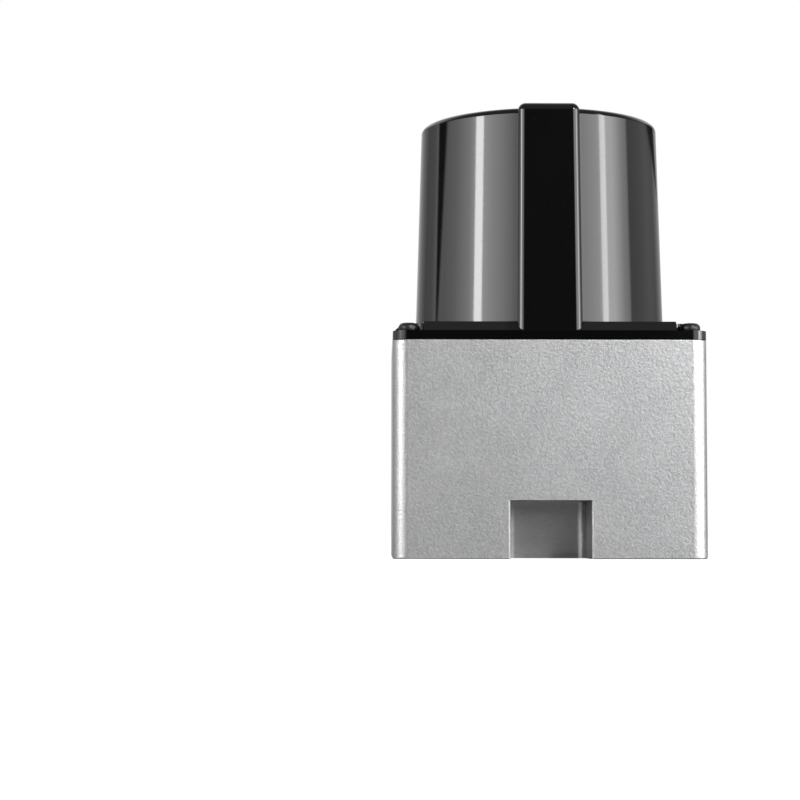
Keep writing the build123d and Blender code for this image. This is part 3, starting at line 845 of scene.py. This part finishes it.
lengthwise = (stripes(mask, track_pitch) > 0.72) * (mask.noise(7 * mm, 0.0) > 0.5)
crosswise = (stripes(mask, track_pitch, "Y") > 0.72) * (mask.noise(6 * mm, 0.0) < 0.45)
tracks = lengthwise.joined("MAXIMUM", lengthwise, crosswise)
vias = mask.node("TexVoronoi", {"feature": "F1"}, {
    "Vector": mask.own(), "Scale": 1 / via_pitch, "Randomness": 0.6}) < 0.13
weave = mask.noise(0.35 * mm)
bare_mask = mask.mix(weave, (0.006, 0.06, 0.02), (0.01, 0.085, 0.03))
greens = mask.mix(tracks, bare_mask, (0.02, 0.17, 0.06))
mask.set(
    Base_Color=mask.mix(vias, greens, (0.6, 0.58, 0.54)),
    Metallic=vias * 0.9,
    Roughness=0.24 + weave * 0.16,
    Normal=mask.bump(tracks.joined("MAXIMUM", tracks, vias), 0.03 * mm),
)
give(mask, "interface_board", "main_board", "emitter_board", "receiver_board")


# Small parts of the two large boards: ceramic capacitors and resistors with tinned ends in rows,
# and moulded chips with bent leads, all soldered on top. They are too small for the solids.
interface_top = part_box("interface_board")[1].z
main_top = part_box("main_board")[1].z
part_pitch = 2.9 * mm
parts_in_row = 9
small_chip_x = 17.0 * mm
small_chip_y = -15.0 * mm
lead_half = 0.15 * mm
ceramic = new_finish("fired_ceramic")
speckle = ceramic.noise(0.15 * mm)
ceramic.surface(speckle, (0.3, 0.2, 0.12), (0.45, 0.33, 0.22),
                0.4 + speckle * 0.2, speckle, 0.006 * mm)
tinned = new_finish("tinned_metal")
dull = tinned.noise(0.3 * mm, 3.0)
tinned.surface(dull, (0.48, 0.47, 0.45), (0.74, 0.73, 0.71),
               0.28 + dull * 0.25, dull, 0.006 * mm, Metallic=1)
epoxy = new_finish("moulded_epoxy")
grit = epoxy.noise(0.09 * mm)
cast = epoxy.noise(4 * mm)
epoxy.surface(cast, (0.016, 0.016, 0.018), (0.035, 0.035, 0.037),
              0.5 + grit * 0.2, grit, 0.008 * mm)


def end_capped(name, long, wide, tall, finish):
    """A small ceramic part with a tinned cap on each end, standing on zero."""
    body = block(name, (-long * 0.3, -wide * 0.47, 0.03 * mm),
                 (long * 0.3, wide * 0.47, tall * 0.94))
    coat(body, finish)
    caps = []
    for end in (-1, 1):
        cap = block("cap", (end * long * 0.28, -wide / 2, 0), (end * long / 2, wide / 2, tall))
        soften(cap, 0.05 * mm, 1)
        coat(cap, tinned)
        caps.append(cap)
    return joined(name, [body, *caps])


def leaded_chip(name, long, wide, tall, leads):
    """A moulded chip with bent leads along two sides, standing on zero."""
    body = block(name, (-long / 2, -wide / 2, 0.1 * mm), (long / 2, wide / 2, tall))
    round_edges(body, 0.15 * mm, 1, lambda a, b: max(a.z, b.z) > tall - hair)
    coat(body, epoxy)
    pieces = [body]
    bends = [(0, 0.35 * mm, tall * 0.4, tall * 0.55), (0.2 * mm, 0.35 * mm, 0, tall * 0.55),
             (0.2 * mm, 0.8 * mm, 0, 0.15 * mm)]
    for side in (-1, 1):
        for i in range(leads):
            x = (i + 0.5) * long / leads - long / 2
            for near, far, bottom, top in bends:
                lead = block("lead", (x - lead_half, side * (wide / 2 + near), bottom),
                             (x + lead_half, side * (wide / 2 + far), top))
                coat(lead, tinned)
                pieces.append(lead)
    return joined(name, pieces)


board_rows = (
    ("interface_board", interface_top, (-19.6 * mm, -7.0 * mm, 3.0 * mm, 20.0 * mm)),
    ("main_board", main_top, (-17.6 * mm, -10.0 * mm, 10.0 * mm, 17.6 * mm)),
)
for board, top, rows in board_rows:
    places = [((i - parts_in_row // 2) * part_pitch, y, top, 0)
              for y in rows for i in range(parts_in_row)]
    chips = [(side * small_chip_x, small_chip_y, top, 0) for side in (-1, 1)]
    capacitor = end_capped("capacitor", 1.6 * mm, 0.8 * mm, 0.8 * mm, ceramic)
    resistor = end_capped("resistor", 1.0 * mm, 0.5 * mm, 0.35 * mm, epoxy)
    chip = leaded_chip("chip", 5.0 * mm, 4.0 * mm, 1.0 * mm, 4)
    small_parts = joined(board + "_small_parts", [
        copied("capacitors", capacitor, places[::2]), copied("resistors", resistor, places[1::2]),
        copied("chips", chip, chips)])
    smooth(small_parts)
    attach(small_parts, "base")


# Power capacitors: two moulded tantalum capacitors under the interface board, orange-brown with
# folded tin tabs at their ends.
case_low, case_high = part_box("power_capacitors")
capacitor_width = 7.3 * mm
tab_width = 2.4 * mm
tab_thickness = 0.15 * mm
tab_length = 1.2 * mm
tab_rise = 1.9 * mm
tantalum = new_finish("tantalum_case")
shade = tantalum.noise(1.2 * mm, 3.0)
tantalum.surface(shade, (0.42, 0.17, 0.03), (0.6, 0.28, 0.06),
                 0.42 + shade * 0.15, shade, 0.01 * mm)
case = block("power_capacitor", (tab_thickness, case_low.y, case_low.z),
             (capacitor_width - tab_thickness, case_high.y, case_high.z - tab_thickness))
soften(case, 0.25 * mm)
coat(case, tantalum)
tab_middle = (case_low.y + case_high.y) / 2
halves = [case]
for end in (0, capacitor_width - tab_length):
    tab = block("tab", (end, tab_middle - tab_width / 2, case_high.z - tab_rise),
                (end + tab_length, tab_middle + tab_width / 2, case_high.z))
    soften(tab, 0.08 * mm)
    coat(tab, tinned)
    halves.append(tab)
capacitors = copied("power_capacitor_pair", joined("power_capacitor", halves), [
    (case_low.x, 0, 0, 0), (case_high.x - capacitor_width, 0, 0, 0)])
smooth(capacitors)
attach(capacitors, "base")
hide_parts("power_capacitors")


# Board standoffs: four hexagonal brass pillars between the boards, each with a screw down through
# the main board.
brass = new_finish("turned_brass")
tarnish = brass.noise(2 * mm, 4.0)
tool_marks = brass.noise(0.08 * mm, 2.0, (0.05, 0.05, 1.0))
brass.surface(tarnish, (0.56, 0.38, 0.14), (0.82, 0.63, 0.32),
              0.24 + tarnish * 0.15 + tool_marks * 0.1, tool_marks, 0.006 * mm, Metallic=1)
give(brass, "board_standoffs", "rotor_hub")

zinc = new_finish("zinc_plated_steel")
bloom = zinc.noise(0.8 * mm, 4.0)
zinc.surface(bloom, (0.5, 0.51, 0.53), (0.74, 0.75, 0.77),
             0.22 + bloom * 0.2, bloom, 0.006 * mm, Metallic=1)
standoff_half = 2.6 * mm
standoff_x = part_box("board_standoffs")[1].x - standoff_half
standoff_y = 9.0 * mm
small_head = 1.7 * mm
small_head_height = 1.1 * mm
small_shank = 0.95 * mm
small_screw = (small_head, small_head_height, small_shank)
board_screws = copied("board_screw_set", cross_screw("board_screw", *small_screw, 5.2 * mm), [
    (x * standoff_x, y * standoff_y, main_top, x + y * 0.3) for x, y in four_corners])
coat(board_screws, zinc)
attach(board_screws, "base")


# Board link and processor: a plug connector that joins the boards, and a moulded processor with a
# dot that marks its first contact, soldered on the main board.
link_low, link_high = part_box("board_link")
link = block("board_link_body", link_low, link_high)
pick(link, "FACE", lambda middle, normal: abs(normal.y) > 0.9)
bpy.ops.mesh.inset(thickness=0.6 * mm, depth=-0.35 * mm)
close_edit()
soften(link, 0.1 * mm)
dress(link, pbt)
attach(link, "base")
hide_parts("board_link")

chip_low, chip_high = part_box("processor_chip")
dot_radius = 0.5 * mm
dot_depth = 0.08 * mm
dot_inset = 1.6 * mm
processor = block("processor_body", chip_low, chip_high)
round_edges(processor, 0.15 * mm, 2, level_at(chip_high.z))
dot = post("processor_dot", dot_radius, chip_high.z - dot_depth, chip_high.z + mm,
           chip_low.x + dot_inset, chip_low.y + dot_inset)
combine(processor, dot)
dress(processor, epoxy)
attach(processor, "base")
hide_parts("processor_chip")
give(epoxy, "detector")


# Flat-cable connectors and cables: cream nylon connectors on the main board, and amber polyimide
# cables with etched copper tracks, from the windings and from the receiver board.
nylon = new_finish("cream_nylon")
haze = nylon.noise(1.5 * mm, 3.0)
nylon.surface(haze, (0.62, 0.57, 0.44), (0.78, 0.74, 0.63), 0.42 + haze * 0.15, haze, 0.01 * mm)
give(nylon, "flex_connectors")
film = new_finish("polyimide_film")
copper_lines = stripes(film, 0.8 * mm) > 0.55
amber = film.noise(1.8 * mm)
bare_film = film.mix(amber, (0.42, 0.17, 0.02), (0.56, 0.26, 0.04))
film.set(
    Base_Color=film.mix(copper_lines, bare_film, (0.62, 0.27, 0.09)),
    Metallic=copper_lines * 0.6,
    Roughness=0.26 + amber * 0.12,
    Normal=film.bump(copper_lines, 0.02 * mm),
)
give(film, "motor_flex", "optics_flex")


# Deck plate: milled from aluminium plate, its edges broken, held to the housing's corner blocks by
# four flush countersunk screws. It closes the housing and carries motor and optics.
deck = new_finish("milled_plate")
passes = deck.noise(0.25 * mm, 3.0, (1.0, 0.04, 1.0))
deck.surface(passes, (0.5, 0.5, 0.51), (0.74, 0.74, 0.75),
             0.24 + passes * 0.16, passes, 0.008 * mm, Metallic=1)
give(deck, "deck_plate")
deck_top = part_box("deck_plate")[1].z
deck_screw_place = 20.6 * mm
flush_head = 1.9 * mm


def flush_screw(name, length):
    """A countersunk screw with a cross recess, the top of its head at zero."""
    shank = 1.0 * mm
    piece = turned(name, [
        (0, -length), (shank, -length), (shank, shank - flush_head), (flush_head, -hair),
        (flush_head - 0.1 * mm, hair), (0, hair)], sides=32)
    for long, wide in ((1.0 * mm, 0.25 * mm), (0.25 * mm, 1.0 * mm)):
        arm = block("recess_arm", (-long, -wide, -0.7 * mm), (long, wide, mm))
        combine(piece, arm)
    smooth(piece, 30)
    return piece


deck_screws = copied("deck_screw_set", flush_screw("deck_screw", 5 * mm), [
    (x * deck_screw_place, y * deck_screw_place, deck_top, x * 0.4 + y) for x, y in four_corners])
coat(deck_screws, zinc)
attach(deck_screws, "base")


# Bearing cartridge and shaft: two ground steel sleeves, their balls left out, the outer one
# pressed into the deck, the inner one on the hardened shaft that carries all that turns.
ground = new_finish("ground_steel")
wheel_marks = ground.noise(0.05 * mm, 2.0, (0.04, 0.04, 1.0))
sheen = ground.noise(2 * mm)
ground.surface(sheen, (0.54, 0.54, 0.56), (0.7, 0.7, 0.71),
               0.12 + wheel_marks * 0.12, wheel_marks, 0.003 * mm, Metallic=1)
give(ground, "bearing_tube", "bearing_inner_sleeve", "shaft")


# Stator: a stack of punched steel sheets on the bearing cartridge, with six teeth, and a winding
# of enamelled copper wire round each tooth.
laminated = new_finish("laminated_core")
sheets = stripes(laminated, 0.35 * mm, "Z")
oxide = laminated.noise(1.2 * mm, 3.0)
laminated.surface(oxide, (0.2, 0.2, 0.21), (0.36, 0.36, 0.37),
                  0.34 + oxide * 0.2, sheets, 0.03 * mm, Metallic=0.9)
give(laminated, "stator_core")

coils_low, coils_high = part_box("stator_coils")
core_low, core_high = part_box("stator_core")
tooth_count = 6
tooth_half = 1.32 * mm
winding_thickness = 1.08 * mm
winding_corner = 0.8 * mm
coil_inner = 7.14 * mm
wire_turns = 6
wire_width = (coils_high.x - coil_inner) / wire_turns
wire_turn = block("wire_turn", (coil_inner, -tooth_half - winding_thickness, coils_low.z),
                  (coil_inner + wire_width, tooth_half + winding_thickness, coils_high.z))
round_edges(wire_turn, winding_corner, 4, lambda a, b: abs(a.x - b.x) > hair)
opening = block("tooth_opening", (0, -tooth_half, core_low.z - hair),
                (2 * coils_high.x, tooth_half, core_high.z + hair))
combine(wire_turn, opening)
soften(wire_turn, wire_width * 0.4)
coil = copied("winding", wire_turn, [(i * wire_width, 0, 0, 0) for i in range(wire_turns)])
windings = copied("stator_windings", coil, [
    (0, 0, 0, 2 * pi * i / tooth_count) for i in range(tooth_count)])
enamel = new_finish("enamelled_wire")
varnish = enamel.noise(0.9 * mm)
enamel.surface(varnish, (0.36, 0.11, 0.03), (0.72, 0.32, 0.14),
               0.25 + varnish * 0.15, varnish, 0.01 * mm, Metallic=0.9)
dress(windings, enamel)
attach(windings, "base")
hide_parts("stator_coils")


# Rotor bell and magnet: a deep-drawn steel cup pressed on the shaft, with a rounded floor edge,
# and a ring of bonded magnet powder glued into its wall.
bell_low, bell_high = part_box("rotor_bell")
bell_radius = bell_high.x
bell_wall = 1.0 * mm
bell_floor = 1.2 * mm
bell_edge = 0.9 * mm
bell_rim = 0.2 * mm
shaft_bore = 1.52 * mm
bell = turned("bell_cup", [
    (shaft_bore, bell_low.z),
    *arc((bell_radius - bell_edge, bell_low.z + bell_edge), bell_edge, 270, 360, 6),
    *arc((bell_radius - bell_rim, bell_high.z - bell_rim), bell_rim, 0, 90, 3),
    (bell_radius - bell_wall, bell_high.z), (bell_radius - bell_wall, bell_low.z + bell_floor),
    (shaft_bore, bell_low.z + bell_floor), (shaft_bore, bell_low.z)], sides=160)
drawn = new_finish("drawn_steel")
lines = drawn.noise(0.15 * mm, 3.0, (0.05, 0.05, 1.0))
stain = drawn.noise(3 * mm, 3.0)
drawn.surface(stain, (0.4, 0.4, 0.41), (0.58, 0.58, 0.59),
              0.26 + lines * 0.18, lines, 0.006 * mm, Metallic=1)
dress(bell, drawn)
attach(bell, "rotor")
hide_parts("rotor_bell")
bonded = new_finish("bonded_magnet")
powder = bonded.noise(0.1 * mm, 3.0)
skin = bonded.noise(2 * mm)
bonded.surface(skin, (0.03, 0.03, 0.032), (0.075, 0.075, 0.08),
               0.5 + powder * 0.2, powder, 0.01 * mm, Metallic=0.3)
give(bonded, "magnet_ring")


# Encoder disc and its fork: photo-etched spring steel with slots round its rim and one gap for the
# zero position, read by a light barrier in black plastic that stands on the deck.
etched = new_finish("etched_steel")
rolled = etched.noise(0.2 * mm, 3.0, (0.03, 1.0, 1.0))
fog = etched.noise(3 * mm)
etched.surface(fog, (0.4, 0.4, 0.41), (0.56, 0.56, 0.57),
               0.3 + rolled * 0.15, rolled, 0.004 * mm, Metallic=1)
give(etched, "encoder_disc")
fork_low, fork_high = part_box("encoder_sensor")
disc_low, disc_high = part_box("encoder_disc")
slot_gap = 0.8 * mm
fork = block("fork_body", fork_low, fork_high)
fork_slot = block("fork_slot", (0, -body_depth, disc_low.z - slot_gap),
                  (disc_high.x + slot_gap, body_depth, disc_high.z + slot_gap))
combine(fork, fork_slot)
soften(fork, 0.25 * mm)
dress(fork, pbt)
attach(fork, "base")
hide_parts("encoder_sensor")


# Mirror holder: turned from aluminium, cut at 45 degrees, hollowed from behind and anodised black,
# with a brass weight let into its base that balances it.
anodised = new_finish("black_anodised")
dye = anodised.noise(2.5 * mm, 3.0)
texture = anodised.noise(0.12 * mm, 2.0, (0.3, 0.3, 1.0))
anodised.surface(dye, (0.012, 0.012, 0.014), (0.04, 0.04, 0.043),
                 0.36 + texture * 0.16, texture, 0.008 * mm, Metallic=0.6)
give(anodised, "mirror_holder", "emitter_tube")
give(brass, "balance_weight")


# Mirror: an octagon of float glass with a protected aluminium coating on its front face, ground at
# its edges and glued on the holder's slope.
slope = Vector((0, 1, 1)).normalized()
face_distance = max(slope.dot(vertex.co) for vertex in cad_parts["mirror"].data.vertices)
coating = new_finish("front_coating")
across_slope = coating.node("VectorMath", {"operation": "DOT_PRODUCT"}, {
    0: coating.own(), 1: tuple(slope)}, "Value")
coated = across_slope > face_distance - 0.02 * mm
film_haze = coating.noise(3 * mm, 4.0)
dust = coating.noise(0.14 * mm, 1.0) > 0.76
silvered = coating.mix(film_haze, (0.88, 0.89, 0.9), (0.94, 0.94, 0.94))
coating.set(
    Metallic=0.1 + coated * 0.9,
    Base_Color=coating.mix(coated, (0.12, 0.2, 0.17), silvered),
    Roughness=0.45 - coated * 0.43 + dust * 0.15 + film_haze * 0.02,
)
give(coating, "mirror")


# Optics bracket and lens barrel: milled from aluminium and anodised black. The bracket stands on
# the deck, its arm runs up inside the fin, and two screws hold its foot.
bracket = new_finish("blasted_black")
pores = bracket.noise(0.16 * mm, 3.0)
dye = bracket.noise(4 * mm, 3.0)
bracket.surface(dye, (0.014, 0.014, 0.016), (0.045, 0.045, 0.048),
                0.46 + pores * 0.18, pores, 0.015 * mm, Metallic=0.55)
give(bracket, "optics_bracket", "lens_barrel")
foot_top = deck_top + 1.8 * mm
foot_screw_places = (-21.0 * mm, -16.0 * mm)
foot_screws = copied("foot_screw_set", cross_screw("foot_screw", *small_screw, 4.0 * mm), [
    (0, y, foot_top, y / mm) for y in foot_screw_places])
coat(foot_screws, zinc)
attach(foot_screws, "base")


# Receiver and emitter optics: a pressed Fresnel lens in clear acrylic with its rings, a small
# moulded lens in the emitter's light shield, and the laser in a gold-plated case.
acrylic = new_finish("clear_acrylic")
scuff = acrylic.noise(0.8 * mm, 3.0)
acrylic.set(
    Base_Color=acrylic.mix(scuff, (0.9, 0.93, 0.95), (0.97, 0.98, 0.99)),
    Roughness=0.02 + scuff * 0.05,
    Transmission_Weight=1.0,
    IOR=1.49,
    Normal=acrylic.bump(scuff, 0.002 * mm),
)
lens_low, lens_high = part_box("receiver_lens")
ring_width = 0.8 * mm
ring_depth = 0.28 * mm
ring_count = 17
tube_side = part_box("emitter_tube")[1].x + neck_room
teeth = []
for i in range(1, ring_count + 1):
    teeth += [(i * ring_width, lens_low.z + ring_depth), (i * ring_width, lens_low.z)]
receiver_lens = turned("fresnel_lens", [
    (0, lens_low.z), *teeth, (ring_count * ring_width + hair, lens_high.z), (0, lens_high.z)],
    sides=96)
lens_square = block("lens_square", lens_low, lens_high + Vector((0, 0, mm)))
combine(receiver_lens, lens_square, "INTERSECT")
tube_hole = block("tube_hole", (-tube_side, -tube_side, lens_low.z - mm),
                  (tube_side, tube_side, lens_high.z + mm))
combine(receiver_lens, tube_hole)
small_low, small_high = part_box("emitter_lens")
dome_radius = 2.43 * mm
dome_edge = 41.2
plate_bottom = small_low.z + dome_radius * (1 - cos(radians(dome_edge)))
emitter_lens = turned("emitter_lens_dome", [
    *arc((0, small_low.z + dome_radius), dome_radius, 270, 270 + dome_edge, 8),
    (0, plate_bottom + hair)], sides=48)
lens_plate = block("lens_plate", (small_low.x, small_low.y, plate_bottom), small_high)
combine(emitter_lens, lens_plate, "UNION")
for lens, node in ((receiver_lens, "receiver_lens"), (emitter_lens, "emitter_lens")):
    dress(lens, acrylic)
    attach(lens, "base")
    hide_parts(node)
diode_low, diode_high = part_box("laser_diode")
base_radius = (diode_high.x - diode_low.x) / 2
base_height = 0.8 * mm
can_radius = base_radius * 0.72
can_edge = 0.2 * mm
port_radius = base_radius * 0.35
port_z = diode_low.z + 0.15 * mm
diode = turned("laser_case", [
    (0, port_z), (port_radius, port_z), (port_radius, diode_low.z),
    *arc((can_radius - can_edge, diode_low.z + can_edge), can_edge, 270, 360, 4),
    (can_radius, diode_high.z - base_height), (base_radius, diode_high.z - base_height),
    (base_radius, diode_high.z), (0, diode_high.z)], sides=48)
dress(diode, gold)
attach(diode, "base")
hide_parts("laser_diode")
